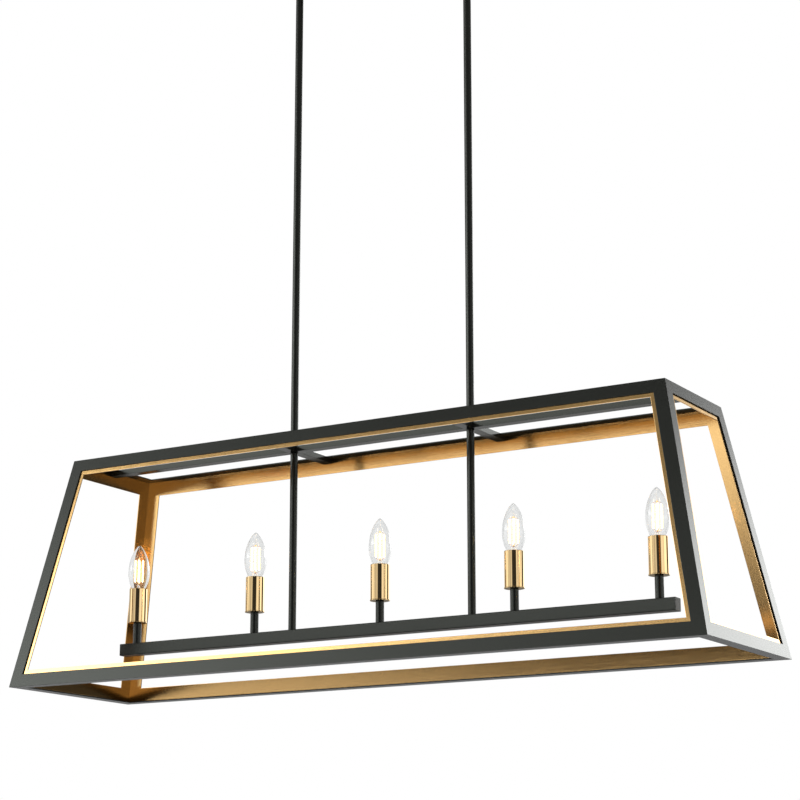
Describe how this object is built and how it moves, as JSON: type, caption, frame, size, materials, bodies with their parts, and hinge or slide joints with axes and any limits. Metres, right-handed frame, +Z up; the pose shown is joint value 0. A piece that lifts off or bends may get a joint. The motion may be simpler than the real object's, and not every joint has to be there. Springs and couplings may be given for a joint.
{
  "type": "linear island pendant",
  "caption": "Open-cage linear pendant: black angle frame with gold liners, candle bulbs in gold cups on a central bar, hung on rods from a canopy.",
  "frame": {"origin": "middle of the ceiling bracket's top face, where it meets the ceiling", "axes": "+X to the right along the fixture's length, +Y to its rear, +Z up towards the ceiling"},
  "size_m": [1.18, 0.302, 1.2154],
  "materials": {
    "black_paint": "satin black powder coat",
    "gold_liner": "satin gold, brushed along its length",
    "gold_cup": "polished gold plate",
    "zinc_steel": "zinc plate",
    "clear_glass": "clear",
    "nickel_cap": "nickel plate",
    "socket_plastic": "moulded black phenolic",
    "wire_jacket": "smooth lead jacket"
  },
  "bodies": {
    "ceiling_mount": {"canopy": "black_paint", "canopy_cap_nuts": "black_paint", "canopy_studs": "zinc_steel", "ceiling_bracket": "zinc_steel", "swivel_collar_left": "black_paint", "swivel_collar_right": "black_paint", "swivel_ring_nuts": "zinc_steel"},
    "fixture": {"upper_rod_left": "black_paint", "upper_rod_right": "black_paint", "lower_rod_left": "black_paint", "lower_rod_right": "black_paint", "spine": "black_paint", "crossbar_left": "black_paint", "crossbar_right": "black_paint", "candle_bar": "black_paint", "bar_end_caps": "black_paint", "candle_stems": "black_paint", "top_rail_front": "black_paint", "top_rail_rear": "black_paint", "top_rail_left": "black_paint", "top_rail_right": "black_paint", "bottom_rail_front": "black_paint", "bottom_rail_rear": "black_paint", "bottom_rail_left": "black_paint", "bottom_rail_right": "black_paint", "post_front_left": "black_paint", "post_front_right": "black_paint", "post_rear_left": "black_paint", "post_rear_right": "black_paint", "post_liner_front_left": "gold_liner", "post_liner_front_right": "gold_liner", "post_liner_rear_left": "gold_liner", "post_liner_rear_right": "gold_liner", "top_side_liners": "gold_liner", "top_end_liners": "gold_liner", "bottom_side_liners": "gold_liner", "bottom_end_liners": "gold_liner", "candle_cup_1": "gold_cup", "candle_cup_2": "gold_cup", "candle_cup_3": "gold_cup", "candle_cup_4": "gold_cup", "candle_cup_5": "gold_cup", "swivel_ball_left": "zinc_steel", "swivel_ball_right": "zinc_steel", "rod_nipples": "zinc_steel", "stem_nipples": "zinc_steel", "bar_lock_nuts": "zinc_steel", "lamp_sockets": "socket_plastic", "wiring_loom": "wire_jacket", "lead_connector": "wire_jacket"},
    "bulb_1_glass": {"bulb_glass_1": "clear_glass"},
    "bulb_1_base": {"bulb_base_1": "nickel_cap"},
    "bulb_2_glass": {"bulb_glass_2": "clear_glass"},
    "bulb_2_base": {"bulb_base_2": "nickel_cap"},
    "bulb_3_glass": {"bulb_glass_3": "clear_glass"},
    "bulb_3_base": {"bulb_base_3": "nickel_cap"},
    "bulb_4_glass": {"bulb_glass_4": "clear_glass"},
    "bulb_4_base": {"bulb_base_4": "nickel_cap"},
    "bulb_5_glass": {"bulb_glass_5": "clear_glass"},
    "bulb_5_base": {"bulb_base_5": "nickel_cap"}
  },
  "joints": [
    {"name": "fixture_swing", "type": "hinge", "parent": "ceiling_mount", "child": "fixture", "pos_m": [0, 0, -0.0374], "axis": [1, 0, 0], "range_deg": [-15, 15]},
    {"name": "bulb_1_rise", "type": "slide", "parent": "fixture", "child": "bulb_1_glass", "axis": [0, 0, 1], "range_m": [0, 0.01271]},
    {"name": "bulb_1_turn", "type": "hinge", "parent": "bulb_1_glass", "child": "bulb_1_base", "pos_m": [-0.4572, 0, -1], "axis": [0, 0, 1], "range_deg": [0, 1800]},
    {"name": "bulb_2_rise", "type": "slide", "parent": "fixture", "child": "bulb_2_glass", "axis": [0, 0, 1], "range_m": [0, 0.01271]},
    {"name": "bulb_2_turn", "type": "hinge", "parent": "bulb_2_glass", "child": "bulb_2_base", "pos_m": [-0.2286, 0, -1], "axis": [0, 0, 1], "range_deg": [0, 1800]},
    {"name": "bulb_3_rise", "type": "slide", "parent": "fixture", "child": "bulb_3_glass", "axis": [0, 0, 1], "range_m": [0, 0.01271]},
    {"name": "bulb_3_turn", "type": "hinge", "parent": "bulb_3_glass", "child": "bulb_3_base", "pos_m": [0, 0, -1], "axis": [0, 0, 1], "range_deg": [0, 1800]},
    {"name": "bulb_4_rise", "type": "slide", "parent": "fixture", "child": "bulb_4_glass", "axis": [0, 0, 1], "range_m": [0, 0.01271]},
    {"name": "bulb_4_turn", "type": "hinge", "parent": "bulb_4_glass", "child": "bulb_4_base", "pos_m": [0.2286, 0, -1], "axis": [0, 0, 1], "range_deg": [0, 1800]},
    {"name": "bulb_5_rise", "type": "slide", "parent": "fixture", "child": "bulb_5_glass", "axis": [0, 0, 1], "range_m": [0, 0.01271]},
    {"name": "bulb_5_turn", "type": "hinge", "parent": "bulb_5_glass", "child": "bulb_5_base", "pos_m": [0.4572, 0, -1], "axis": [0, 0, 1], "range_deg": [0, 1800]}
  ],
  "couplings": [
    {"joint": "bulb_1_rise", "follows": "bulb_1_turn", "m_per_rad": 0.00040425},
    {"joint": "bulb_2_rise", "follows": "bulb_2_turn", "m_per_rad": 0.00040425},
    {"joint": "bulb_3_rise", "follows": "bulb_3_turn", "m_per_rad": 0.00040425},
    {"joint": "bulb_4_rise", "follows": "bulb_4_turn", "m_per_rad": 0.00040425},
    {"joint": "bulb_5_rise", "follows": "bulb_5_turn", "m_per_rad": 0.00040425}
  ]
}
